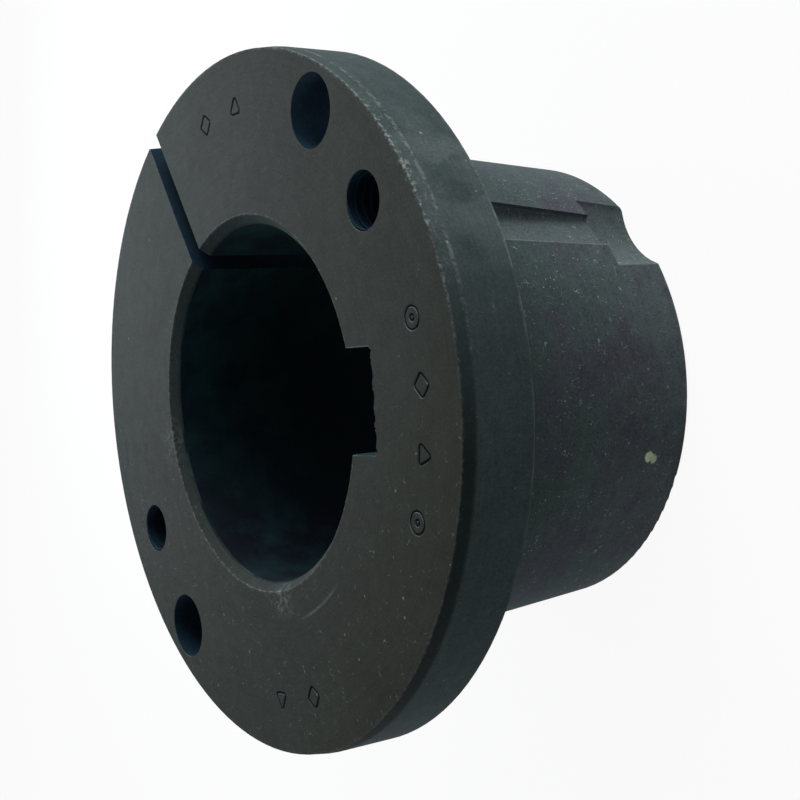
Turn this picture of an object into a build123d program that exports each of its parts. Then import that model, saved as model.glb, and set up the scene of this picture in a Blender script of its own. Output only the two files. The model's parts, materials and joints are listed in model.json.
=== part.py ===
"""Flanged taper bush: one machined casting that locks a tapered hub onto a keyed shaft.

It stands on the small end of its barrel. The origin is on the axis at the small end, +Z runs
towards the flange and +X towards the shaft keyway. Millimetres and degrees.
"""

from build123d import *

import os
from math import radians, tan

# Bore and shaft keyway
bore_diameter = 75.0
bore_chamfer = 1.9
key_width = 20.0
key_floor = 46.0  # from the axis to the floor of the keyway
key_corner_radius = 0.5

# Flange
flange_diameter = 146.0
flange_thickness = 15.9
bevel_length = 2.8  # bevel round the front of the rim, along the axis
bevel_depth = 0.45
bevel_blend = 4.0  # radius that softens the bevel into the rim
rim_break = 0.6  # broken edge at the back of the rim

# Barrel: an 8 degree included taper
barrel_length = 61.1
root_diameter = 109.7  # where the barrel meets the flange
taper_half_angle = 4.0
root_fillet = 0.8
small_end_round = 1.0

# Slit through flange and barrel, which lets the bush close on its shaft
slit_angle = 122.4
slit_width = 4.8

# Plain holes for the drawing screws, tapped holes for the jacking screws
plain_hole_diameter = 14.5
plain_circle_diameter = 127.0
plain_hole_angles = (60.9, 233.6)
tapped_hole_diameter = 10.2  # tapping size of an M12 thread
tapped_circle_diameter = 118.5
tapped_hole_angles = (37.8, 209.5)
tapped_hole_chamfer = 0.5

# Recesses as cast along the barrel, one behind each tapped hole, which clear the jacking screws
recess_floor = 50.0  # from the axis to the floor
recess_floor_width_at_flange = 9.9
recess_floor_width_at_small_end = 7.4
recess_lead_at_flange = 2.3  # how far round the recess sits from its tapped hole
recess_lead_at_small_end = 0.5
recess_draft = 16.0  # lean of the side walls
recess_corner_radius = 1.0

# Round pocket at the small end, where the recess by the keyway runs out
pocket_angle = 38.5
pocket_radius = 15.0
pocket_axis_distance = 62.1
pocket_length = 13.5
pocket_corner_radius = 0.5

total_length = barrel_length + flange_thickness
small_end_radius = root_diameter / 2 - barrel_length * tan(radians(taper_half_angle))
recess_top = root_diameter / 2 + 2 * root_fillet
recess_flare = (recess_top - recess_floor) * tan(radians(recess_draft))

with BuildPart() as recess_form:
    recess_ends = (
        (0, recess_lead_at_small_end, recess_floor_width_at_small_end / 2),
        (barrel_length, recess_lead_at_flange, recess_floor_width_at_flange / 2),
    )
    for height, lead, half_width in recess_ends:
        with BuildSketch(Plane.XY.offset(height).rotated((0, 0, lead))) as section:
            with BuildLine():
                Polyline(
                    (recess_floor, -half_width),
                    (recess_top, -half_width - recess_flare),
                    (recess_top, half_width + recess_flare),
                    (recess_floor, half_width),
                    close=True,
                )
            make_face()
            fillet(section.vertices().sort_by(SortBy.DISTANCE)[:2], recess_corner_radius)
    loft()

with BuildPart() as pocket_form:
    with BuildSketch(Plane.XY):
        with PolarLocations(pocket_axis_distance, 1, start_angle=pocket_angle):
            Circle(pocket_radius)
    extrude(amount=pocket_length)
    fillet(pocket_form.faces().sort_by(Axis.Z)[-1].edges(), pocket_corner_radius)

with BuildPart() as taper_bush:
    # Half section of the turned form, spun about the axis
    with BuildSketch(Plane.XZ):
        with BuildLine():
            Polyline(
                (bore_diameter / 2, 0),
                (small_end_radius, 0),
                (root_diameter / 2, barrel_length),
                (flange_diameter / 2, barrel_length),
                (flange_diameter / 2, total_length - bevel_length),
                (flange_diameter / 2 - bevel_depth, total_length),
                (bore_diameter / 2, total_length),
                close=True,
            )
        make_face()
    revolve(axis=Axis.Z)

    # Turned edges, found by height and then by size
    circles_by_height = taper_bush.edges().filter_by(GeomType.CIRCLE).group_by(Axis.Z)
    small_end_circles = circles_by_height[0].sort_by(SortBy.RADIUS)
    flange_back_circles = circles_by_height[1].sort_by(SortBy.RADIUS)
    bevel_circle = circles_by_height[2]
    face_circles = circles_by_height[3].sort_by(SortBy.RADIUS)
    chamfer([small_end_circles[0], face_circles[0]], bore_chamfer)
    chamfer(flange_back_circles[-1], rim_break)
    fillet(small_end_circles[-1], small_end_round)
    fillet(flange_back_circles[0], root_fillet)
    fillet(bevel_circle, bevel_blend)

    # Shaft keyway and slit, both the full length
    with BuildSketch(Plane.XY) as keyway:
        Rectangle(key_floor, key_width, align=(Align.MIN, Align.CENTER))
        fillet(keyway.vertices().group_by(Axis.X)[-1], key_corner_radius)
    extrude(amount=total_length, mode=Mode.SUBTRACT)
    with BuildSketch(Plane.XY):
        with PolarLocations(0, 1, start_angle=slit_angle):
            Rectangle(flange_diameter, slit_width, align=(Align.MIN, Align.CENTER))
    extrude(amount=total_length, mode=Mode.SUBTRACT)

    # Recesses first, so that the jacking holes come out into them behind the flange
    for angle in tapped_hole_angles:
        with PolarLocations(0, 1, start_angle=angle):
            add(recess_form.part, mode=Mode.SUBTRACT)
    add(pocket_form.part, mode=Mode.SUBTRACT)

    # Flange holes
    with Locations(Plane.XY.offset(total_length)):
        for angle in plain_hole_angles:
            with PolarLocations(plain_circle_diameter / 2, 1, start_angle=angle):
                Hole(plain_hole_diameter / 2)
        for angle in tapped_hole_angles:
            with PolarLocations(tapped_circle_diameter / 2, 1, start_angle=angle):
                CounterSinkHole(
                    tapped_hole_diameter / 2,
                    tapped_hole_diameter / 2 + tapped_hole_chamfer,
                    counter_sink_angle=90,
                )

taper_bush.part.label = "taper_bush"

os.makedirs("parts", exist_ok=True)
export_step(taper_bush.part, "parts/taper_bush.step")
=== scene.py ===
"""Looks of a flanged taper bush: one blackened cast-iron casting, turned, drilled, tapped and slit.

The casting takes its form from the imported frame. Added to it here are the threads of the two
jacking holes, small plain punch marks on the flange, nicks along its edges, the torn edge of the
keyway, two chips on the barrel and the iron's finish.
"""

import json
import math

import bmesh
import bpy
from bpy.props import FloatProperty, FloatVectorProperty, IntProperty, PointerProperty
from bpy.types import Operator, Panel, PropertyGroup
from mathutils import Matrix, Vector


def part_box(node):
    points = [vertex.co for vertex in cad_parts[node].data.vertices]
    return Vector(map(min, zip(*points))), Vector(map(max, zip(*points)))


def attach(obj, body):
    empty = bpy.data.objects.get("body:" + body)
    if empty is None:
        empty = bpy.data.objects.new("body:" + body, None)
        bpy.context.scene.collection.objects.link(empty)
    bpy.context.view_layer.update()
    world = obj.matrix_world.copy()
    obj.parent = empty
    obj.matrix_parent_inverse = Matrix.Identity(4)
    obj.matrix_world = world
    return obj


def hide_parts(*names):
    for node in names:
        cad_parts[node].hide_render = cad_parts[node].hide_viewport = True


bl_info = {
    "name": "Taper bush",
    "version": (1, 0, 0),
    "blender": (4, 5, 0),
    "location": "3D View > Sidebar > Taper bush",
    "description": "Dresses a flanged taper bush: threads, punch marks, nicks and blackened iron",
    "category": "Object",
}

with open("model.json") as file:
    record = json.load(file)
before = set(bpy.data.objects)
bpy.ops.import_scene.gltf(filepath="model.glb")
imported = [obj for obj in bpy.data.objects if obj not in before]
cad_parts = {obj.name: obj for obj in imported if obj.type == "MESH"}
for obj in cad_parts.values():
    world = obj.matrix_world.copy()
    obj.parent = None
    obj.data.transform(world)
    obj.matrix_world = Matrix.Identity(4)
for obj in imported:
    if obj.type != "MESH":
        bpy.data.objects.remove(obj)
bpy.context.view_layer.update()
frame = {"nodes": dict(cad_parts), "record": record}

MM = 0.001
NODE = "taper_bush"
MOUNTS = {mount["name"]: mount for mount in frame["record"]["mounts"]}
SHAFT_BORE = MOUNTS["shaft_bore"]
JACKING_HOLE = MOUNTS["jacking_hole_keyway_side"]
BUSH_HIGH = Vector(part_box(NODE)[1])

# Sizes of the casting: from the frame where it states them, otherwise as the part is drawn
FACE_HEIGHT = BUSH_HIGH.z
RIM_RADIUS = BUSH_HIGH.x
BORE_RADIUS = SHAFT_BORE["dims"]["r_mm"] * MM
BORE_CHAMFER = (FACE_HEIGHT - SHAFT_BORE["dims"]["length_mm"] * MM) / 2
JACKING_ANGLE = math.atan2(JACKING_HOLE["pos_m"][1], JACKING_HOLE["pos_m"][0])
THREAD_MOUTH = 0.5 * MM
THREAD_LENGTH = JACKING_HOLE["dims"]["length_mm"] * MM
FLANGE_BACK = FACE_HEIGHT - THREAD_MOUTH - THREAD_LENGTH
KEY_FLOOR = MOUNTS["shaft_keyway"]["pos_m"][0]
KEY_HALF_WIDTH = 10 * MM
KEY_CORNER_RADIUS = 0.5 * MM
TEAR_PITCH = 2.4 * MM  # size of the waves in the keyway's torn edge
BEVEL_LENGTH = 2.8 * MM
BEVEL_DEPTH = 0.45 * MM
RIM_BREAK = 0.6 * MM
BARREL_RADIUS = 52.7 * MM  # half-way along the taper
TAPER = math.tan(math.radians(4))
SMALL_END_RADIUS = BARREL_RADIUS - TAPER * FLANGE_BACK / 2
SLIT_ANGLE = math.radians(122.4)
SLIT_HALF_WIDTH = 2.4 * MM
RECESS_EDGE = -3.4 * MM  # edge of the recess at the small end, aside from the jacking hole
RECESS_LEAN = 0.012  # how far that edge comes aside for each unit up the barrel
CHIP_PLACES = ((-18.2, 11.0), (-18.9, 9.5))  # angle in degrees and height in mm of each chip
CHIP_RADIUS = 1.2 * MM


def linear(code):
    """A colour written as sRGB hex, in linear light."""
    channels = (int(code[i : i + 2], 16) / 255 for i in (1, 3, 5))
    return tuple(c / 12.92 if c <= 0.04045 else ((c + 0.055) / 1.055) ** 2.4 for c in channels)


def add_node(tree, kind, inputs=None, **settings):
    """Adds a node with its settings, and fills its inputs with values, sockets or nodes."""
    node = tree.nodes.new(kind)
    for name, value in settings.items():
        setattr(node, name, value)
    for key, value in (inputs or {}).items():
        if isinstance(value, bpy.types.Node):
            value = next(socket for socket in value.outputs if socket.enabled)
        if isinstance(value, bpy.types.NodeSocket):
            tree.links.new(value, node.inputs[key])
        else:
            node.inputs[key].default_value = value
    return node


# ---------------------------------------------------------------------------------------------
# What a user would change
# ---------------------------------------------------------------------------------------------


class BushFinish(PropertyGroup):
    """Colours of the blackened iron."""

    face: FloatVectorProperty(
        name="Face",
        description="Turned face of the flange",
        subtype="COLOR",
        default=linear("#3f4341"),
    )
    # Painted shade: the face is painted darker and browner in this colour towards +X and −Y, and so
    # is the bore's chamfer on its −Y side
    brown_shade: FloatVectorProperty(
        name="Oil stain",
        description="Brown cast where oil has dried on the face",
        subtype="COLOR",
        default=linear("#272a22"),
    )
    rim: FloatVectorProperty(
        name="Rim",
        description="Turned rim of the flange",
        subtype="COLOR",
        default=linear("#323c3d"),
    )
    # The bevel is painted wholly in this colour from its −Y side round to the side facing the
    # camera: painted shade
    bevel: FloatVectorProperty(
        name="Bevel",
        description="Bevel at the front of the rim, where the black is whole",
        subtype="COLOR",
        default=linear("#151d1e"),
    )
    barrel: FloatVectorProperty(
        name="Barrel",
        description="Turned taper of the barrel",
        subtype="COLOR",
        default=linear("#2f3a39"),
    )
    small_end: FloatVectorProperty(
        name="Small end",
        description="Paler end of the barrel, where the bath took less",
        subtype="COLOR",
        default=linear("#475052"),
    )
    recess: FloatVectorProperty(
        name="Recess",
        description="Cast skin in the recesses and the pocket",
        subtype="COLOR",
        default=linear("#4c5657"),
    )
    bloom: FloatVectorProperty(
        name="Bloom",
        description="Violet bloom of the salt bath on the barrel",
        subtype="COLOR",
        default=linear("#3a3743"),
    )
    bore: FloatVectorProperty(
        name="Bore",
        description="Bore and keyway",
        subtype="COLOR",
        default=linear("#11292d"),
    )
    # Dark patches in the bore, and painted shade on its −Y wall, which the key light reaches
    bore_dark_and_shade: FloatVectorProperty(
        name="Bore, oiled",
        description="Side of the bore where the oil has drained to",
        subtype="COLOR",
        default=linear("#040a12"),
    )
    holes: FloatVectorProperty(
        name="Holes",
        description="Screw holes and slit",
        subtype="COLOR",
        default=linear("#10222e"),
    )
    # The plain hole nearest the slit is painted a paler blue inside; what makes it blue is not
    # known
    hole_blue: FloatVectorProperty(
        name="Hole, oiled",
        description="Oil film in the plain hole nearest the slit",
        subtype="COLOR",
        default=linear("#33475a"),
    )
    # Also painted highlights along the edges on the +Y side, which face the key light
    worn_and_highlight: FloatVectorProperty(
        name="Worn edge",
        description="Iron where the black has rubbed off",
        subtype="COLOR",
        default=linear("#8b9391"),
    )
    chip: FloatVectorProperty(
        name="Chip",
        description="Pale patch where the skin has chipped off the barrel",
        subtype="COLOR",
        default=linear("#aebfa0"),
    )
    # Also a faint painted highlight on the rim where it faces the front light
    dust_and_sheen: FloatVectorProperty(
        name="Dust",
        description="Pale specks and threads of lint",
        subtype="COLOR",
        default=linear("#a3aca8"),
    )
    roughness: FloatProperty(
        name="Roughness",
        description="Roughness of the black finish",
        default=0.8,
        min=0.0,
        max=1.0,
        subtype="FACTOR",
    )


class BushThread(PropertyGroup):
    """Thread of the jacking holes."""

    major_diameter: FloatProperty(
        name="Major diameter",
        description="Diameter at the roots of the tapped thread",
        default=12.1 * MM,
        unit="LENGTH",
    )
    pitch: FloatProperty(
        name="Pitch",
        description="Distance from one turn of the thread to the next",
        default=1.75 * MM,
        unit="LENGTH",
    )
    steps: IntProperty(
        name="Steps a turn",
        description="Straight steps in one turn of the thread",
        default=36,
        min=8,
    )


class BushMarks(PropertyGroup):
    """Plain inspection marks punched into the flange face."""

    circle_radius: FloatProperty(
        name="Circle of marks",
        description="Distance of the marks from the axis",
        default=61.5 * MM,
        unit="LENGTH",
    )
    size: FloatProperty(
        name="Mark radius",
        description="Radius of a ring, triangle or square mark",
        default=2.1 * MM,
        unit="LENGTH",
    )
    groove: FloatProperty(
        name="Groove",
        description="Half the width, and the depth, of the punched line",
        default=0.36 * MM,
        unit="LENGTH",
    )


class BushNicks(PropertyGroup):
    """Nicks and chips that handling left along the edges."""

    smallest: FloatProperty(
        name="Smallest nick",
        description="Radius of the smallest nick",
        default=0.15 * MM,
        unit="LENGTH",
    )
    largest: FloatProperty(
        name="Largest nick",
        description="Radius of the largest nick",
        default=0.5 * MM,
        unit="LENGTH",
    )
    tear_depth: FloatProperty(
        name="Tear",
        description="Depth of the torn edge of the keyway at the face",
        default=0.9 * MM,
        unit="LENGTH",
    )
    seed: IntProperty(
        name="Seed",
        description="Choice of places and sizes",
        default=7,
    )


class BushStage(PropertyGroup):
    """Studio round the bush."""

    key_power: FloatProperty(
        name="Key light",
        description="Power of the large soft light beside the bush",
        default=14.8,
        min=0.0,
        unit="POWER",
    )
    front_power: FloatProperty(
        name="Front light",
        description="Power of the light between the key light and the camera",
        default=2.9,
        min=0.0,
        unit="POWER",
    )
    side_power: FloatProperty(
        name="Side light",
        description="Power of the cool light low behind the bush",
        default=0.68,
        min=0.0,
        unit="POWER",
    )
    fill_power: FloatProperty(
        name="Fill light",
        description="Power of the weak light across from the key light",
        default=2.8,
        min=0.0,
        unit="POWER",
    )
    world_strength: FloatProperty(
        name="Surround",
        description="Strength of the even light from all sides",
        default=0.12,
        min=0.0,
    )


# ---------------------------------------------------------------------------------------------
# Cutters: threads, punch marks, nicks, the torn keyway and chips
# ---------------------------------------------------------------------------------------------


def new_tree(name, sockets):
    """A geometry node tree with these named inputs, and the outputs of its input node."""
    tree = bpy.data.node_groups.new(name, "GeometryNodeTree")
    for label, kind in sockets.items():
        tree.interface.new_socket(label, in_out="INPUT", socket_type="NodeSocket" + kind)
    tree.interface.new_socket("Cutter", in_out="OUTPUT", socket_type="NodeSocketGeometry")
    return tree, add_node(tree, "NodeGroupInput").outputs


def finish_tree(tree, copies, material):
    """Ends a tree: its copies become one real mesh of this material."""
    real = add_node(tree, "GeometryNodeRealizeInstances", {"Geometry": copies})
    painted = add_node(tree, "GeometryNodeSetMaterial", {"Geometry": real, "Material": material})
    add_node(tree, "NodeGroupOutput", {"Cutter": painted})
    return tree


def thread_tree(material):
    """Geometry nodes that wind a V-section along a helix at each hole centre."""
    tree, start = new_tree(
        "tapped_thread",
        {
            "Centres": "Geometry",
            "Major radius": "Float",
            "Pitch": "Float",
            "Turns": "Float",
            "Steps a turn": "Int",
        },
    )
    # A triangle with three equal sides is the 60 degree section. Its side is a little under the
    # pitch, so that neighbouring turns stay apart.
    section_radius = add_node(
        tree, "ShaderNodeMath", {0: start["Pitch"], 1: 0.97 / math.sqrt(3)}, operation="MULTIPLY"
    )
    helix_radius = add_node(
        tree, "ShaderNodeMath", {0: start["Major radius"], 1: section_radius}, operation="SUBTRACT"
    )
    height = add_node(
        tree, "ShaderNodeMath", {0: start["Pitch"], 1: start["Turns"]}, operation="MULTIPLY"
    )
    helix = add_node(
        tree,
        "GeometryNodeCurveSpiral",
        {
            "Resolution": start["Steps a turn"],
            "Rotations": start["Turns"],
            "Start Radius": helix_radius,
            "End Radius": helix_radius,
            "Height": height,
        },
    )
    upright = add_node(tree, "GeometryNodeSetCurveNormal", {"Curve": helix}, mode="Z_UP")
    section = add_node(
        tree, "GeometryNodeCurvePrimitiveCircle", {"Resolution": 3, "Radius": section_radius}
    )
    ridge = add_node(
        tree,
        "GeometryNodeCurveToMesh",
        {"Curve": upright, "Profile Curve": section, "Fill Caps": True},
    )
    copies = add_node(
        tree, "GeometryNodeInstanceOnPoints", {"Points": start["Centres"], "Instance": ridge}
    )
    return finish_tree(tree, copies, material)


def mark_tree(material):
    """Geometry nodes that sweep a V-groove round a plain figure at each mark's centre."""
    tree, start = new_tree(
        "punch_mark",
        {"Centres": "Geometry", "Sides": "Int", "Radius": "Float", "Groove": "Float"},
    )
    figure = add_node(
        tree,
        "GeometryNodeCurvePrimitiveCircle",
        {"Resolution": start["Sides"], "Radius": start["Radius"]},
    )
    # Rounded corners and short steps keep the groove at its full width all the way round
    corner = add_node(
        tree, "ShaderNodeMath", {0: start["Radius"], 1: 0.2}, operation="MULTIPLY"
    )
    rounded = add_node(
        tree,
        "GeometryNodeFilletCurve",
        {"Curve": figure, "Count": 3, "Radius": corner, "Limit Radius": True},
        mode="POLY",
    )
    stepped = add_node(
        tree, "GeometryNodeResampleCurve", {"Curve": rounded, "Count": 36}, mode="COUNT"
    )
    upright = add_node(tree, "GeometryNodeSetCurveNormal", {"Curve": stepped}, mode="Z_UP")
    # Four points make a section that stands on its corner
    section = add_node(
        tree, "GeometryNodeCurvePrimitiveCircle", {"Resolution": 4, "Radius": start["Groove"]}
    )
    groove = add_node(
        tree, "GeometryNodeCurveToMesh", {"Curve": upright, "Profile Curve": section}
    )
    # Every mark is turned to face outwards, as the punch is held
    outwards = add_node(
        tree,
        "FunctionNodeAlignRotationToVector",
        {"Vector": add_node(tree, "GeometryNodeInputPosition")},
        axis="X",
        pivot_axis="Z",
    )
    copies = add_node(
        tree,
        "GeometryNodeInstanceOnPoints",
        {"Points": start["Centres"], "Instance": groove, "Rotation": outwards},
    )
    return finish_tree(tree, copies, material)


def nick_tree(material):
    """Geometry nodes that scatter small uneven lumps along an edge."""
    tree, start = new_tree(
        "edge_nicks",
        {
            "Edge": "Geometry",
            "Nicks": "Int",
            "Smallest": "Float",
            "Largest": "Float",
            "Seed": "Int",
        },
    )
    line = add_node(tree, "GeometryNodeMeshToCurve", {"Mesh": start["Edge"]})
    length = add_node(tree, "GeometryNodeCurveLength", {"Curve": line})
    spacing = add_node(
        tree, "ShaderNodeMath", {0: length, 1: start["Nicks"]}, operation="DIVIDE"
    )
    places = add_node(
        tree, "GeometryNodeCurveToPoints", {"Curve": line, "Count": start["Nicks"]}, mode="COUNT"
    )
    # Along the edge a nick slips by up to about a third of the spacing, so that they don't look
    # set out and still stay clear of each other
    slip = add_node(
        tree,
        "FunctionNodeRandomValue",
        {"Min": (-0.35, -0.35, -0.35), "Max": (0.35, 0.35, 0.35), "Seed": start["Seed"]},
        data_type="FLOAT_VECTOR",
    )
    axes = add_node(tree, "ShaderNodeSeparateXYZ", {"Vector": slip}).outputs
    along = add_node(tree, "ShaderNodeMath", {0: axes["X"], 1: spacing}, operation="MULTIPLY")
    across = add_node(
        tree, "ShaderNodeVectorMath", {0: slip, "Scale": start["Smallest"]}, operation="SCALE"
    )
    shift = add_node(
        tree,
        "ShaderNodeVectorMath",
        {0: places.outputs["Tangent"], "Scale": along},
        operation="SCALE",
    )
    shift = add_node(tree, "ShaderNodeVectorMath", {0: shift, 1: across}, operation="ADD")
    moved = add_node(
        tree, "GeometryNodeSetPosition", {"Geometry": places.outputs["Points"], "Offset": shift}
    )
    lump = add_node(tree, "GeometryNodeMeshIcoSphere", {"Radius": 1.0, "Subdivisions": 2})
    # Many small nicks and few large ones: an even choice, raised to the fourth power
    even = add_node(tree, "FunctionNodeRandomValue", {"Seed": start["Seed"]}, data_type="FLOAT")
    rare = add_node(tree, "ShaderNodeMath", {0: even, 1: 4.0}, operation="POWER")
    size = add_node(
        tree,
        "ShaderNodeMapRange",
        {"Value": rare, "To Min": start["Smallest"], "To Max": start["Largest"]},
    )
    uneven = add_node(
        tree,
        "FunctionNodeRandomValue",
        {"Min": (0.7, 0.5, 0.7), "Max": (1.2, 1.6, 1.1), "Seed": start["Seed"]},
        data_type="FLOAT_VECTOR",
    )
    scale = add_node(
        tree, "ShaderNodeVectorMath", {0: uneven, "Scale": size}, operation="SCALE"
    )
    turn = add_node(
        tree,
        "FunctionNodeRandomValue",
        {"Max": (math.tau, math.tau, math.tau), "Seed": start["Seed"]},
        data_type="FLOAT_VECTOR",
    )
    copies = add_node(
        tree,
        "GeometryNodeInstanceOnPoints",
        {"Points": moved, "Instance": lump, "Rotation": turn, "Scale": scale},
    )
    return finish_tree(tree, copies, material)


def grow(name, points, edges, tree, values):
    """Runs a tree on these points and edges, and returns its result as a plain mesh object."""
    mesh = bpy.data.meshes.new(name)
    mesh.from_pydata(points, edges, [])
    seed = bpy.data.objects.new(name, mesh)
    bpy.context.scene.collection.objects.link(seed)
    modifier = seed.modifiers.new("grow", "NODES")
    modifier.node_group = tree
    sockets = {item.name: item.identifier for item in tree.interface.items_tree}
    for label, value in values.items():
        modifier[sockets[label]] = value
    apply_modifiers(seed)
    return seed


def around_axis(angle, radius, height):
    """The point at this angle in degrees, this far from the axis and this high."""
    return Matrix.Rotation(math.radians(angle), 3, "Z") @ Vector((radius, 0, height))


def thread_cutter(tree, thread):
    """The threads of both jacking holes."""
    overrun = thread.pitch
    length = FACE_HEIGHT - FLANGE_BACK + 2 * overrun
    centres = [
        (mount["pos_m"][0], mount["pos_m"][1], FLANGE_BACK - overrun)
        for name, mount in MOUNTS.items()
        if name.startswith("jacking_hole")
    ]
    values = {
        "Major radius": thread.major_diameter / 2,
        "Pitch": thread.pitch,
        "Turns": length / thread.pitch,
        "Steps a turn": thread.steps,
    }
    return [grow("threads", centres, [], tree, values)]


def mark_cutters(tree, marks):
    """Plain figures in three groups: four by the keyway, and two at each side of the flange."""
    # Sides, share of the mark radius, and the angles that the figure stands at
    figures = {
        "rings": (20, 1.0, (13.5, -20.5)),
        "squares": (4, 1.1, (2.4, 101.4, 286.9)),
        "triangles": (3, 1.2, (-9.0, 88.7, 274.4)),
        "dots": (8, 0.27, (13.5, -20.5)),
    }
    cutters = []
    for name, (sides, share, angles) in figures.items():
        centres = [around_axis(angle, marks.circle_radius, FACE_HEIGHT) for angle in angles]
        values = {"Sides": sides, "Radius": share * marks.size, "Groove": marks.groove}
        cutters.append(grow(name, centres, [], tree, values))
    return cutters


def nick_cutters(tree, nicks):
    """Nicks along the edges that meet other parts first when the bush is handled."""
    # The lumps stand off the edge, so that they only take shallow bites out of it
    stand_off = 0.6 * nicks.largest
    corner_radius = RIM_RADIUS - BEVEL_DEPTH + stand_off
    front = FACE_HEIGHT + stand_off
    # Edge, radius, height, from and to angle, how many
    arcs = (
        ("face_edge_nicks", corner_radius, front, 0, 360, 46),
        ("struck_edge_nicks", corner_radius, front, 14, 50, 16),
        ("rim_back_nicks", RIM_RADIUS + stand_off, FLANGE_BACK + RIM_BREAK, 0, 360, 30),
        ("bore_edge_nicks", BORE_RADIUS + BORE_CHAMFER, front, 24, 345, 26),
    )
    cutters = []
    for number, (name, radius, height, first, last, count) in enumerate(arcs):
        points = [around_axis(angle, radius, height) for angle in range(first, last + 1, 2)]
        edges = [(i, i + 1) for i in range(len(points) - 1)]
        values = {
            "Nicks": count,
            "Smallest": nicks.smallest,
            "Largest": nicks.largest,
            "Seed": nicks.seed + number,
        }
        cutters.append(grow(name, points, edges, tree, values))
    return cutters


def tear_tree(material):
    """Geometry nodes that make a bar with one ragged side, where the broach tore the edge."""
    tree, start = new_tree(
        "broach_tear",
        {"Place": "Geometry", "Length": "Float", "Depth": "Float", "Seed": "Float"},
    )
    depth = start["Depth"]
    size = add_node(
        tree, "ShaderNodeCombineXYZ", {"X": depth, "Y": start["Length"], "Z": depth}
    )
    bar = add_node(tree, "GeometryNodeMeshCube", {"Size": size, "Vertices Y": 60})
    # Only the side away from the bore is ragged: it is drawn in and out along the edge
    position = add_node(tree, "GeometryNodeInputPosition")
    x, y, _ = add_node(tree, "ShaderNodeSeparateXYZ", {"Vector": position}).outputs
    along = add_node(tree, "ShaderNodeCombineXYZ", {"Y": y})
    ragged = add_node(
        tree,
        "ShaderNodeTexNoise",
        {
            "Vector": along,
            "W": start["Seed"],
            "Scale": 1 / TEAR_PITCH,
            "Detail": 4.0,
            "Roughness": 0.65,
        },
        noise_dimensions="4D",
    ).outputs["Fac"]
    swing = add_node(
        tree,
        "ShaderNodeMapRange",
        {"Value": ragged, "From Min": 0.4, "From Max": 0.62, "To Max": depth},
    )
    outer = add_node(tree, "ShaderNodeMath", {0: x, 1: 0.0}, operation="GREATER_THAN")
    shift = add_node(tree, "ShaderNodeMath", {0: swing, 1: outer}, operation="MULTIPLY")
    outwards = add_node(tree, "ShaderNodeCombineXYZ", {"X": shift})
    torn = add_node(
        tree,
        "GeometryNodeSetPosition",
        {"Geometry": bar.outputs["Mesh"], "Offset": outwards},
    )
    copies = add_node(
        tree, "GeometryNodeInstanceOnPoints", {"Points": start["Place"], "Instance": torn}
    )
    return finish_tree(tree, copies, material)


def tear_cutter(tree, nicks):
    """The torn edge of the keyway's floor at the face."""
    depth = nicks.tear_depth
    # The bar stays clear of the floor and the corners of the keyway until its side is drawn out
    clearance = 0.05 * MM
    place = (KEY_FLOOR - depth / 2 - clearance, 0, FACE_HEIGHT + 0.1 * depth)
    length = 2 * (KEY_HALF_WIDTH - KEY_CORNER_RADIUS)
    values = {"Length": length, "Depth": depth, "Seed": float(nicks.seed)}
    return [grow("keyway_tear", [place], [], tree, values)]


def chip_places():
    """The middle of each chip on the barrel, on its surface."""
    return [
        around_axis(angle, SMALL_END_RADIUS + height * MM * TAPER, height * MM)
        for angle, height in CHIP_PLACES
    ]


def chip_cutters():
    """Two shallow chips in the skin of the barrel."""
    cutters = []
    for number, place in enumerate(chip_places()):
        outwards = Vector((place.x, place.y, 0)).normalized()
        lump = bmesh.new()
        # A ball of twice the chip's radius, mostly outside, takes a shallow dish
        bmesh.ops.create_icosphere(lump, subdivisions=3, radius=2 * CHIP_RADIUS)
        bmesh.ops.translate(lump, verts=lump.verts, vec=place + 1.8 * CHIP_RADIUS * outwards)
        mesh = bpy.data.meshes.new("chip")
        lump.to_mesh(mesh)
        lump.free()
        chip = bpy.data.objects.new(f"chip_{number}", mesh)
        bpy.context.scene.collection.objects.link(chip)
        cutters.append(chip)
    return cutters


# ---------------------------------------------------------------------------------------------
# Blackened iron
# ---------------------------------------------------------------------------------------------


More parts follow.
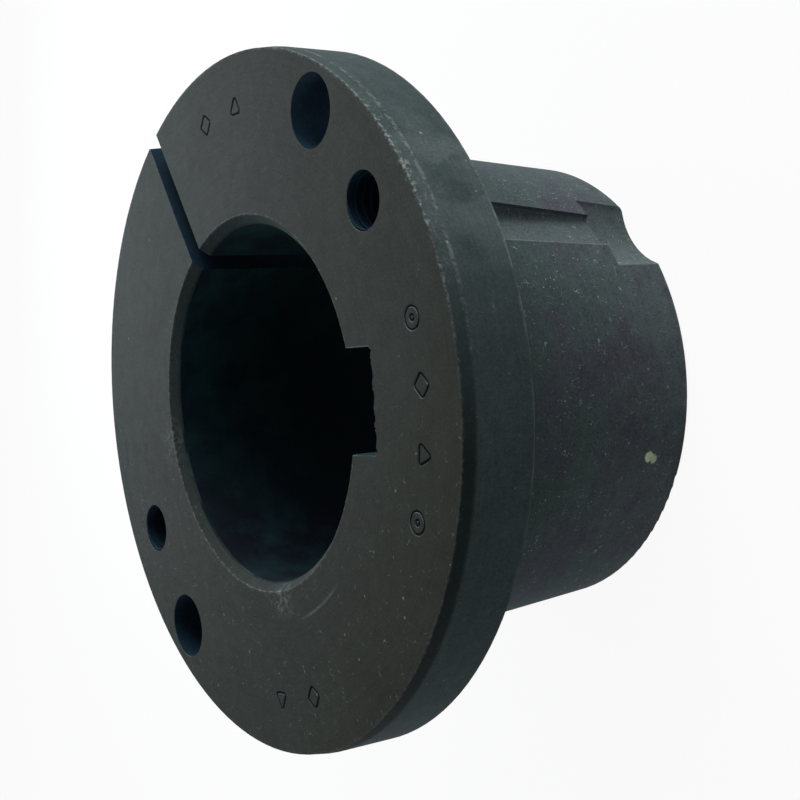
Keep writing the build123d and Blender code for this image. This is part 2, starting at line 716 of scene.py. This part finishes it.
def iron_patterns(tree, place, outwards, travel):
    """The patterns of the finish by name: noises, tool marks and specks."""
    # Each noise with the size of its features, its detail and its roughness
    noises = {
        "cloud": (14 * MM, 3.0, 0.55),
        "bloom": (11 * MM, 4.0, 0.6),
        "scale": (2.6 * MM, 3.0, 0.6),
        # Casting grain of about 0.2 mm, drawn at 0.5 mm so that it shows
        "grain": (0.5 * MM, 2.0, 0.6),
        "lint": (1.7 * MM, 1.0, 0.5),
        "lint_patch": (2.2 * MM, 1.0, 0.5),
        "wear": (1.1 * MM, 3.0, 0.65),
        "wear_patch": (9 * MM, 2.0, 0.5),
    }
    pattern = {}
    for name, (size, detail, roughness) in noises.items():
        pattern[name] = add_node(
            tree,
            "ShaderNodeTexNoise",
            {"Vector": place, "Scale": 1 / size, "Detail": detail, "Roughness": roughness},
        ).outputs["Fac"]

    # Tool marks: slow round the axis, fast along the tool's travel. The real feed of 0.2 mm is
    # drawn at 0.6 mm so that it shows.
    around = add_node(tree, "ShaderNodeVectorMath", {0: outwards, "Scale": 3.0}, operation="SCALE")
    axes = add_node(tree, "ShaderNodeSeparateXYZ", {"Vector": around}).outputs
    feed = add_node(tree, "ShaderNodeMath", {0: travel, 1: 1 / (0.6 * MM)}, operation="MULTIPLY")
    lathe = add_node(tree, "ShaderNodeCombineXYZ", {"X": axes["X"], "Y": axes["Y"], "Z": feed})
    pattern["turning"] = add_node(
        tree, "ShaderNodeTexNoise", {"Vector": lathe, "Scale": 1.0, "Detail": 2.0}
    ).outputs["Fac"]

    # Specks: one in each cell, of which some are left out
    for name, size in (("fine", 0.9 * MM), ("coarse", 4.0 * MM)):
        cells = add_node(tree, "ShaderNodeTexVoronoi", {"Vector": place, "Scale": 1 / size})
        pattern[name] = cells.outputs["Distance"]
        pattern[name + "_choice"] = add_node(
            tree, "ShaderNodeSeparateColor", {"Color": cells.outputs["Color"]}
        ).outputs["Red"]
    return pattern


def iron_distances(tree, place, outline):
    """How far a point is from the keyway, the slit and every spot, by name."""
    directions = {
        # The way in which the face is painted darker and browner: painted shade
        "towards_brown_shade": (0.87, -0.5, 0),
        # Aside from the jacking hole by the keyway, along the lean of its recess
        "recess_aside": (-math.sin(JACKING_ANGLE), math.cos(JACKING_ANGLE), RECESS_LEAN),
    }
    for name, turn in (("key", 0.0), ("slit", SLIT_ANGLE)):
        directions[name + "_ahead"] = (math.cos(turn), math.sin(turn), 0)
        directions[name + "_aside"] = (-math.sin(turn), math.cos(turn), 0)
    distance = {}
    for name, direction in directions.items():
        distance[name] = add_node(
            tree, "ShaderNodeVectorMath", {0: place, 1: direction}, operation="DOT_PRODUCT"
        ).outputs["Value"]
    for name in ("key_aside", "slit_aside"):
        distance[name] = add_node(
            tree, "ShaderNodeMath", {0: distance[name]}, operation="ABSOLUTE"
        )

    spots = {f"chip_{number}": chip for number, chip in enumerate(chip_places())}
    spots["rubbed"] = (8 * MM, -40.5 * MM, FACE_HEIGHT)
    # A paler patch on the face at the bore's edge
    spots["bore_edge_patch"] = (-40 * MM, -8 * MM, FACE_HEIGHT)
    spots["smear"] = (23 * MM, -40 * MM, FACE_HEIGHT)
    # The plain hole nearest the slit, which is painted a paler blue
    spots["blue_hole_spot"] = (26 * MM, 61.5 * MM, (FACE_HEIGHT + FLANGE_BACK) / 2)
    for name, spot in spots.items():
        away = add_node(
            tree, "ShaderNodeVectorMath", {0: place, 1: spot}, operation="DISTANCE"
        ).outputs["Value"]
        # The noise moves each spot's outline in and out
        distance[name] = add_node(
            tree, "ShaderNodeMath", {0: outline, 1: 1.5 * MM, 2: away}, operation="MULTIPLY_ADD"
        )
    return distance


def iron_shares(tree, point, pattern, distance):
    """Where each part of the finish lies: 0 where there is none, and 1 where it is whole."""
    height, radius, across = point["height"], point["radius"], point["across"]
    # How far a point lies under the turned surface of the barrel
    turned_radius = add_node(
        tree, "ShaderNodeMath", {0: height, 1: TAPER, 2: SMALL_END_RADIUS}, operation="MULTIPLY_ADD"
    )
    sunk = add_node(tree, "ShaderNodeMath", {0: turned_radius, 1: radius}, operation="SUBTRACT")
    # A thread of lint lies where its pattern crosses its middle value
    crossing = add_node(tree, "ShaderNodeMath", {0: pattern["lint"], 1: 0.5}, operation="SUBTRACT")
    crossing = add_node(tree, "ShaderNodeMath", {0: crossing}, operation="ABSOLUTE")

    mouth = BORE_RADIUS + BORE_CHAMFER
    bevel = FACE_HEIGHT - BEVEL_LENGTH
    lap = 0.06 * MM  # the walls' colour reaches this little past them
    # What is read, where the share starts, and where it is whole
    ranges = {
        # Height
        "on_flange": (height, FLANGE_BACK - 0.2 * MM, FLANGE_BACK),
        "on_face": (height, FACE_HEIGHT - 0.2 * MM, FACE_HEIGHT - 0.05 * MM),
        "on_bevel": (height, bevel - 0.3 * MM, bevel + 0.5 * MM),
        "below_face": (height, FACE_HEIGHT - 0.08 * MM, FACE_HEIGHT - 0.3 * MM),
        "groove_lip": (height, FACE_HEIGHT - 0.01 * MM, FACE_HEIGHT - 0.06 * MM),
        "small_end": (height, 50.0 * MM, 2.0 * MM),
        # Distance from the axis
        "on_rim": (radius, RIM_RADIUS - 1.0 * MM, RIM_RADIUS - 0.5 * MM),
        "in_flange": (radius, RIM_RADIUS - 1.9 * MM, RIM_RADIUS - 2.1 * MM),
        "in_bore": (radius, BORE_RADIUS + 0.3 * MM, BORE_RADIUS + 0.1 * MM),
        "past_chamfer": (radius, mouth, mouth + 0.2 * MM),
        "near_chamfer": (radius, mouth + 0.2 * MM, mouth),
        "sunk": (sunk, 0.5 * MM, 0.9 * MM),
        "turned_skin": (sunk, 0.4 * MM, 0.2 * MM),
        # Keyway and slit
        "key_ahead": (distance["key_ahead"], 0.0, 1 * MM),
        "key_aside": (distance["key_aside"], KEY_HALF_WIDTH + lap, KEY_HALF_WIDTH + lap / 3),
        "key_end": (distance["key_ahead"], KEY_FLOOR + 1.3 * MM, KEY_FLOOR + 1.1 * MM),
        "key_lip": (distance["key_ahead"], KEY_FLOOR, KEY_FLOOR - 0.3 * MM),
        "slit_ahead": (distance["slit_ahead"], 0.0, 1 * MM),
        "slit_aside": (distance["slit_aside"], SLIT_HALF_WIDTH + lap, SLIT_HALF_WIDTH + lap / 3),
        # Side of the bush: +1 is its +Y side and -1 its -Y side
        "top_side": (across, 0.55, 0.95),
        "under_side": (across, -0.55, -0.95),
        # The +Y side faces the key light: its edges are also painted paler there, painted highlight
        "upper_side": (across, 0.05, 0.35),
        # Where the bevel is painted darkest: painted shade
        "painted_shade_bevel_side": (across, 0.35, -0.15),
        # Where the rim was struck, which is also where it catches the front light; there it gets a
        # painted highlight too
        "struck_and_sheen": (across, 0.25, 0.42),
        "past_struck_and_sheen": (across, 0.8, 0.62),
        # Painted shade on the face, and the −Y side, where the bore is painted darker
        "brown_shade": (distance["towards_brown_shade"], -40 * MM, 30 * MM),
        "deep_brown_shade": (distance["towards_brown_shade"], 42 * MM, 76 * MM),
        # The −Y side: the bore's wall and chamfer are painted darker there, painted shade; lint
        # also lies there
        "low_y_side": (point["y"], 10 * MM, -30 * MM),
        # Spots
        "chip_0": (distance["chip_0"], CHIP_RADIUS + 0.9 * MM, CHIP_RADIUS + 0.5 * MM),
        "chip_1": (distance["chip_1"], CHIP_RADIUS + 0.7 * MM, CHIP_RADIUS + 0.3 * MM),
        "rubbed": (distance["rubbed"], 5.5 * MM, 1.5 * MM),
        "bore_edge_patch": (distance["bore_edge_patch"], 7 * MM, 2 * MM),
        "smear": (distance["smear"], 10 * MM, 5 * MM),
        "blue_hole_spot": (distance["blue_hole_spot"], 12 * MM, 8 * MM),
        # Patterns
        "bloom": (pattern["bloom"], 0.44, 0.66),
        "pits": (pattern["grain"], 0.46, 0.34),
        "fine": (pattern["fine"], 0.18, 0.1),
        "fine_choice": (pattern["fine_choice"], 0.45, 0.95),
        "coarse": (pattern["coarse"], 0.09, 0.04),
        "coarse_choice": (pattern["coarse_choice"], 0.7, 0.9),
        "lint": (crossing, 0.008, 0.003),
        "lint_patch": (pattern["lint_patch"], 0.58, 0.64),
        "wear": (pattern["wear"], 0.45, 0.6),
        "deep_wear": (pattern["wear"], 0.56, 0.66),
        "wear_patch": (pattern["wear_patch"], 0.4, 0.6),
    }
    share = {}
    for name, (value, start, end) in ranges.items():
        share[name] = add_node(
            tree, "ShaderNodeMapRange", {"Value": value, "From Min": start, "From Max": end}
        ).outputs["Result"]
    share["recess_edge"] = add_node(
        tree,
        "ShaderNodeMath",
        {0: distance["recess_aside"], 1: RECESS_EDGE, 2: 0.25 * MM},
        operation="COMPARE",
    )

    # Edges that rub: the profile they are seen in, how far out and how high, and their width
    turned = add_node(tree, "ShaderNodeCombineXYZ", {"X": radius, "Y": height})
    broached = add_node(tree, "ShaderNodeCombineXYZ", {"X": distance["key_aside"], "Y": height})
    edges = {
        "struck_edge": (turned, RIM_RADIUS - 0.6 * BEVEL_DEPTH, FACE_HEIGHT - 0.5 * MM, 1.6 * MM),
        "face_edge": (turned, RIM_RADIUS - BEVEL_DEPTH, FACE_HEIGHT, 0.55 * MM),
        "bevel_edge": (turned, RIM_RADIUS, bevel, 0.6 * MM),
        "rim_back": (turned, RIM_RADIUS, FLANGE_BACK + 0.5 * RIM_BREAK, 0.9 * MM),
        "bore_edge": (turned, mouth, FACE_HEIGHT, 0.45 * MM),
        "bore_lip": (turned, BORE_RADIUS, FACE_HEIGHT - BORE_CHAMFER, 0.4 * MM),
        "barrel_end": (turned, BARREL_RADIUS - 2.2 * MM, 0.5 * MM, 0.8 * MM),
        "smear_line": (turned, 46 * MM, FACE_HEIGHT, 0.4 * MM),
        "key_edge": (broached, KEY_HALF_WIDTH, FACE_HEIGHT, 0.25 * MM),
    }
    for name, (profile, out, up, width) in edges.items():
        away = add_node(
            tree, "ShaderNodeVectorMath", {0: profile, 1: (out, up, 0)}, operation="DISTANCE"
        ).outputs["Value"]
        share[name] = add_node(
            tree, "ShaderNodeMapRange", {"Value": away, "From Min": width, "From Max": 0.4 * width}
        ).outputs["Result"]
    return share


def iron_layers(finish):
    """Layers from the iron up: colour, how much of it, and the shares that limit it."""
    return (
        # Barrel
        (finish.small_end, 1.0, ("small_end",)),
        (finish.barrel, 0.6, ("top_side",)),
        # Painted shade: the barrel's −Y side, away from the key light, darkened towards the bore's
        # colour
        (finish.bore, 0.35, ("under_side",)),
        (finish.bloom, 0.65, ("bloom",)),
        (finish.recess, 0.75, ("sunk",)),
        (finish.worn_and_highlight, 0.25, ("recess_edge", "key_ahead", "turned_skin")),
        (finish.bore, 0.2, ("pits",)),
        (finish.dust_and_sheen, 0.75, ("fine", "fine_choice", "wear_patch")),
        (finish.dust_and_sheen, 0.45, ("lint", "lint_patch")),
        (finish.chip, 0.9, ("chip_0",)),
        (finish.chip, 0.75, ("chip_1",)),
        # Flange
        (finish.rim, 1.0, ("on_flange",)),
        (finish.bevel, 0.2, ("on_flange", "top_side")),
        # Painted shade: the bevel darkest from its −Y side round to the side facing the camera
        (finish.bevel, 1.0, ("on_bevel", "painted_shade_bevel_side")),
        (finish.face, 1.0, ("on_face",)),
        # Painted shade: the face darker and browner towards +X and −Y
        (finish.brown_shade, 0.4, ("on_face", "brown_shade")),
        (finish.brown_shade, 0.7, ("on_face", "deep_brown_shade")),
        (finish.rim, 0.7, ("near_chamfer", "below_face")),
        # Painted shade on the −Y side of the bore's chamfer
        (finish.brown_shade, 0.55, ("near_chamfer", "below_face", "low_y_side")),
        # Dust, rubbed spots and a painted highlight on the rim
        (finish.dust_and_sheen, 0.12, ("fine", "fine_choice", "wear_patch")),
        (finish.dust_and_sheen, 0.4, ("coarse", "coarse_choice")),
        (finish.dust_and_sheen, 0.1, ("lint", "lint_patch")),
        # Painted highlight: the rim paler, in patches, where it catches the front light
        (finish.dust_and_sheen, 0.06, ("struck_and_sheen", "past_struck_and_sheen", "wear_patch", "on_rim")),
        (finish.worn_and_highlight, 0.4, ("rubbed", "wear")),
        # A paler patch on the face at the bore's edge
        (finish.worn_and_highlight, 0.2, ("bore_edge_patch", "wear")),
        (finish.worn_and_highlight, 0.22, ("smear", "smear_line")),
        (finish.dust_and_sheen, 0.35, ("lint", "lint_patch", "low_y_side", "on_face")),
        (finish.worn_and_highlight, 0.4, ("groove_lip", "wear_patch", "on_face", "past_chamfer", "in_flange")),
        # Walls of the openings
        (finish.holes, 1.0, ("in_flange", "below_face", "on_flange", "past_chamfer")),
        # The plain hole nearest the slit painted a paler blue inside
        (finish.hole_blue, 0.65, ("blue_hole_spot", "in_flange", "below_face", "on_flange")),
        (finish.holes, 1.0, ("slit_aside", "slit_ahead", "below_face")),
        (finish.bore, 1.0, ("key_aside", "key_ahead", "key_end", "below_face")),
        (finish.bore, 1.0, ("in_bore",)),
        (finish.bore_dark_and_shade, 0.7, ("in_bore", "wear_patch")),
        # Painted shade: the bore's −Y wall, which the key light reaches, painted darker, with the
        # bore's colour brought back in patches
        (finish.bore_dark_and_shade, 1.0, ("in_bore", "low_y_side")),
        (finish.bore, 0.5, ("in_bore", "low_y_side", "bloom")),
        # Edges: rubbed paler all round, and on the +Y side also painted highlights where they catch
        # the key light
        (finish.worn_and_highlight, 0.08, ("face_edge", "wear")),
        (finish.worn_and_highlight, 0.25, ("face_edge", "wear", "upper_side")),
        (finish.worn_and_highlight, 0.45, ("struck_edge", "struck_and_sheen", "past_struck_and_sheen", "deep_wear")),
        (finish.worn_and_highlight, 0.22, ("bevel_edge", "wear", "upper_side")),
        (finish.worn_and_highlight, 0.1, ("rim_back", "wear_patch")),
        (finish.worn_and_highlight, 0.2, ("rim_back", "wear", "upper_side")),
        (finish.worn_and_highlight, 0.2, ("bore_edge", "wear")),
        (finish.worn_and_highlight, 0.08, ("bore_lip", "wear_patch")),
        (finish.worn_and_highlight, 0.2, ("barrel_end", "wear")),
        (finish.worn_and_highlight, 0.35, ("key_edge", "key_ahead", "key_lip", "on_face", "wear_patch")),
    )


def blackened_iron(finish):
    """Grey cast iron, turned and then blackened in a salt bath and oiled.

    The oxide coat hides the metal under it: the eye sees a deep matt grey with next to no
    reflection, clouded teal and violet by the bath, and paler where edges have rubbed. Some
    light and shade is painted into the colour: painted shade on the face, the bevel, the barrel
    and the bore, and painted highlights on edges and on the rim.
    """
    material = bpy.data.materials.new("blackened_cast_iron")
    material.use_nodes = True
    tree = material.node_tree
    tree.nodes.clear()

    place = add_node(tree, "ShaderNodeTexCoord").outputs["Object"]
    axes = add_node(tree, "ShaderNodeSeparateXYZ", {"Vector": place}).outputs
    flat = add_node(tree, "ShaderNodeVectorMath", {0: place, 1: (1, 1, 0)}, operation="MULTIPLY")
    radius = add_node(tree, "ShaderNodeVectorMath", {0: flat}, operation="LENGTH").outputs["Value"]
    outwards = add_node(tree, "ShaderNodeVectorMath", {0: flat}, operation="NORMALIZE")
    across = add_node(tree, "ShaderNodeSeparateXYZ", {"Vector": outwards}).outputs["Y"]
    point = {"y": axes["Y"], "height": axes["Z"], "radius": radius, "across": across}
    # Where the tool stood: it moves in along the face and up along rim and barrel
    travel = add_node(tree, "ShaderNodeMath", {0: radius, 1: axes["Z"]}, operation="SUBTRACT")

    pattern = iron_patterns(tree, place, outwards, travel)
    distance = iron_distances(tree, place, pattern["wear"])
    share = iron_shares(tree, point, pattern, distance)

    colour = (*finish.barrel, 1)
    for tone, amount, limits in iron_layers(finish):
        for limit in limits:
            amount = add_node(
                tree, "ShaderNodeMath", {0: share[limit], 1: amount}, operation="MULTIPLY"
            )
        # 0, 6 and 7 are the factor and the two colours of a colour mix
        colour = add_node(
            tree, "ShaderNodeMix", {0: amount, 6: colour, 7: (*tone, 1)}, data_type="RGBA"
        )

    # Light and dark of the finish, about 1: clouds, scale, grain and tool marks
    shade = 1.0
    for name, swing in (("cloud", 0.4), ("scale", 0.5), ("grain", 0.8), ("turning", 0.3)):
        lowered = add_node(
            tree, "ShaderNodeMath", {0: shade, 1: swing / 2}, operation="SUBTRACT"
        )
        shade = add_node(
            tree,
            "ShaderNodeMath",
            {0: pattern[name], 1: swing, 2: lowered},
            operation="MULTIPLY_ADD",
        )
    colour = add_node(
        tree, "ShaderNodeVectorMath", {0: colour, "Scale": shade}, operation="SCALE"
    )

    relief = add_node(
        tree, "ShaderNodeMath", {0: pattern["grain"], 1: pattern["scale"]}, operation="ADD"
    )
    relief = add_node(
        tree, "ShaderNodeMath", {0: pattern["turning"], 1: 0.5, 2: relief}, operation="MULTIPLY_ADD"
    )
    bump = add_node(
        tree, "ShaderNodeBump", {"Height": relief, "Strength": 0.5, "Distance": 0.05 * MM}
    )
    shader = add_node(
        tree,
        "ShaderNodeBsdfPrincipled",
        {
            "Base Color": colour,
            "Metallic": 0.0,
            "Roughness": finish.roughness,
            "Specular IOR Level": 0.06,
            "Normal": bump,
        },
    )
    add_node(tree, "ShaderNodeOutputMaterial", {"Surface": shader})
    return material


# ---------------------------------------------------------------------------------------------
# Operators
# ---------------------------------------------------------------------------------------------


def merged_copy(node, name):
    """A copy of a CAD node's mesh in an object of its own, with its loose triangles joined."""
    mesh = frame["nodes"][node].data.copy()
    mesh.name = name
    shell = bmesh.new()
    shell.from_mesh(mesh)
    bmesh.ops.remove_doubles(shell, verts=shell.verts, dist=0.002 * MM)
    shell.to_mesh(mesh)
    shell.free()
    piece = bpy.data.objects.new(name, mesh)
    bpy.context.scene.collection.objects.link(piece)
    return piece


def apply_modifiers(piece):
    """Turns a piece's modifiers into its own mesh."""
    evaluated = piece.evaluated_get(bpy.context.evaluated_depsgraph_get())
    mesh = bpy.data.meshes.new_from_object(evaluated)
    piece.modifiers.clear()
    piece.data = mesh


def cut(piece, cutters):
    """Cuts a piece by others, one after another, and removes them."""
    for cutter in cutters:
        bite = piece.modifiers.new(cutter.name, "BOOLEAN")
        bite.operation = "DIFFERENCE"
        bite.solver = "MANIFOLD"
        bite.object = cutter
    apply_modifiers(piece)
    for cutter in cutters:
        bpy.data.objects.remove(cutter)


def check_closed(piece):
    """Stops if a piece's shell has an open edge."""
    shell = bmesh.new()
    shell.from_mesh(piece.data)
    open_edges = sum(not edge.is_manifold for edge in shell.edges)
    shell.free()
    if open_edges:
        raise RuntimeError(f"{piece.name} has {open_edges} open edges")


def smooth_by_angle(piece, angle):
    """Smooth faces, with a sharp edge wherever two faces turn by more than the angle.

    At each corner the faces that turn by less are averaged, each by its own angle there, so that
    long thin triangles count no more than others and flat faces stay flat.
    """
    mesh = piece.data
    around = [[] for _ in mesh.vertices]
    for face in mesh.polygons:
        face.use_smooth = True
        corners = [mesh.vertices[index].co for index in face.vertices]
        for i, index in enumerate(face.vertices):
            to_last = corners[i - 1] - corners[i]
            to_next = corners[(i + 1) % len(corners)] - corners[i]
            if to_last.length and to_next.length:
                around[index].append((face.normal, to_last.angle(to_next)))
    least = math.cos(angle)
    normals = []
    for face in mesh.polygons:
        for index in face.vertices:
            mean = Vector()
            for normal, turn in around[index]:
                if normal.dot(face.normal) > least:
                    mean += turn * normal
            normals.append(mean.normalized() if mean.length else face.normal)
    mesh.normals_split_custom_set(normals)


class BUSH_OT_casting(Operator):
    """Dresses the casting with its threads, punch marks, nicks and finish"""

    bl_idname = "bush.casting"
    bl_label = "Bush casting"

    def execute(self, context):
        scene = context.scene
        iron = blackened_iron(scene.bush_finish)
        casting = merged_copy(NODE, "bush_casting")
        casting.data.materials.clear()
        casting.data.materials.append(iron)
        cut(casting, thread_cutter(thread_tree(iron), scene.bush_thread))
        cut(casting, mark_cutters(mark_tree(iron), scene.bush_marks))
        cut(casting, nick_cutters(nick_tree(iron), scene.bush_nicks))
        cut(casting, tear_cutter(tear_tree(iron), scene.bush_nicks))
        cut(casting, chip_cutters())
        check_closed(casting)
        smooth_by_angle(casting, math.radians(25))
        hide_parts(NODE)
        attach(casting, "root")
        return {"FINISHED"}


def aimed(place, target, up):
    """The matrix of a lamp or camera at a place, looking at a target."""
    back = (Vector(place) - Vector(target)).normalized()
    right = Vector(up).cross(back).normalized()
    matrix = Matrix((right, back.cross(right), back)).transposed().to_4x4()
    matrix.translation = place
    return matrix


def background_rays(tree):
    """The share of rays that see the background itself: from camera, gloss and glass."""
    rays = add_node(tree, "ShaderNodeLightPath").outputs
    seen = rays["Is Camera Ray"]
    for name in ("Is Glossy Ray", "Is Transmission Ray"):
        seen = add_node(tree, "ShaderNodeMath", {0: seen, 1: rays[name]}, operation="MAXIMUM")
    return seen


class BUSH_OT_stage(Operator):
    """Sets up the floor, the lights and the camera"""

    bl_idname = "bush.stage"
    bl_label = "Studio"

    def execute(self, context):
        scene = context.scene
        settings = scene.bush_stage
        scene.view_settings.view_transform = "Standard"

        # Pale floor, which shows white and keeps a soft shadow
        paper = bpy.data.materials.new("white_paper")
        paper.use_nodes = True
        tree = paper.node_tree
        tree.nodes.clear()
        share = add_node(
            tree, "ShaderNodeMath", {0: background_rays(tree), 1: 0.93}, operation="MULTIPLY"
        )
        matt = add_node(tree, "ShaderNodeBsdfDiffuse", {"Color": (0.8, 0.8, 0.8, 1)})
        glow = add_node(tree, "ShaderNodeEmission", {"Color": (1, 1, 1, 1), "Strength": 1.0})
        both = add_node(tree, "ShaderNodeMixShader", {0: share, 1: matt, 2: glow})
        add_node(tree, "ShaderNodeOutputMaterial", {"Surface": both})
        mesh = bpy.data.meshes.new("floor")
        half = 3.0
        corners = [(-half, -half, 0), (half, -half, 0), (half, half, 0), (-half, half, 0)]
        mesh.from_pydata(corners, [], [(0, 1, 2, 3)])
        mesh.materials.append(paper)
        floor = bpy.data.objects.new("floor", mesh)
        scene.collection.objects.link(floor)

        world = bpy.data.worlds.new("studio")
        world.use_nodes = True
        tree = world.node_tree
        tree.nodes.clear()
        strength = add_node(
            tree,
            "ShaderNodeMapRange",
            {"Value": background_rays(tree), "To Min": settings.world_strength, "To Max": 1.0},
        )
        sky = add_node(tree, "ShaderNodeBackground", {"Color": (1, 1, 1, 1), "Strength": strength})
        add_node(tree, "ShaderNodeOutputWorld", {"Surface": sky})
        scene.world = world

        # Square soft lamps: place, size, power and colour
        lamps = {
            "key": ((0.0, 0.9, 0.2), 0.7, settings.key_power, "#ffffff"),
            "front": ((0.43, 0.75, 0.3), 0.7, settings.front_power, "#ffffff"),
            "side": ((-0.27, 0.09, 0.17), 0.16, settings.side_power, "#e8f3ff"),
            "fill": ((0.0, -0.85, 0.15), 0.6, settings.fill_power, "#ffffff"),
        }
        for name, (place, size, power, colour) in lamps.items():
            light = bpy.data.lights.new(name, "AREA")
            light.size = size
            light.energy = power
            light.color = linear(colour)
            lamp = bpy.data.objects.new(name, light)
            lamp.matrix_world = aimed(place, (0, 0, FACE_HEIGHT / 2), (0, 0.1, 1))
            scene.collection.objects.link(lamp)

        lens = bpy.data.cameras.new("camera")
        lens.sensor_width = 36.0
        lens.lens = 62.1
        lens.clip_start = 0.01
        camera = bpy.data.objects.new("camera", lens)
        stand = (0.25506, 0.00642, 0.21543)
        target = (0.00834, -0.00138, 0.04491)
        upwards = (0.0148, 0.9976, -0.067)
        camera.matrix_world = aimed(stand, target, upwards)
        scene.collection.objects.link(camera)
        scene.camera = camera
        return {"FINISHED"}


class BUSH_PT_panel(Panel):
    """Steps and settings of the taper bush"""

    bl_label = "Taper bush"
    bl_idname = "BUSH_PT_panel"
    bl_space_type = "VIEW_3D"
    bl_region_type = "UI"
    bl_category = "Taper bush"

    def draw(self, context):
        for key in GROUPS:
            settings = getattr(context.scene, key)
            box = self.layout.box()
            for name in settings.__annotations__:
                box.prop(settings, name)
        for operator in OPERATORS:
            self.layout.operator(operator.bl_idname)


GROUPS = {
    "bush_finish": BushFinish,
    "bush_thread": BushThread,
    "bush_marks": BushMarks,
    "bush_nicks": BushNicks,
    "bush_stage": BushStage,
}
OPERATORS = (BUSH_OT_casting, BUSH_OT_stage)


def register():
    for name, group in GROUPS.items():
        bpy.utils.register_class(group)
        setattr(bpy.types.Scene, name, PointerProperty(type=group))
    for cls in (*OPERATORS, BUSH_PT_panel):
        bpy.utils.register_class(cls)


def unregister():
    for cls in reversed((*OPERATORS, BUSH_PT_panel)):
        bpy.utils.unregister_class(cls)
    for name, group in reversed(GROUPS.items()):
        delattr(bpy.types.Scene, name)
        bpy.utils.unregister_class(group)


def main():
    register()
    bpy.ops.bush.casting()
    bpy.ops.bush.stage()


if __name__ == "__main__":
    main()
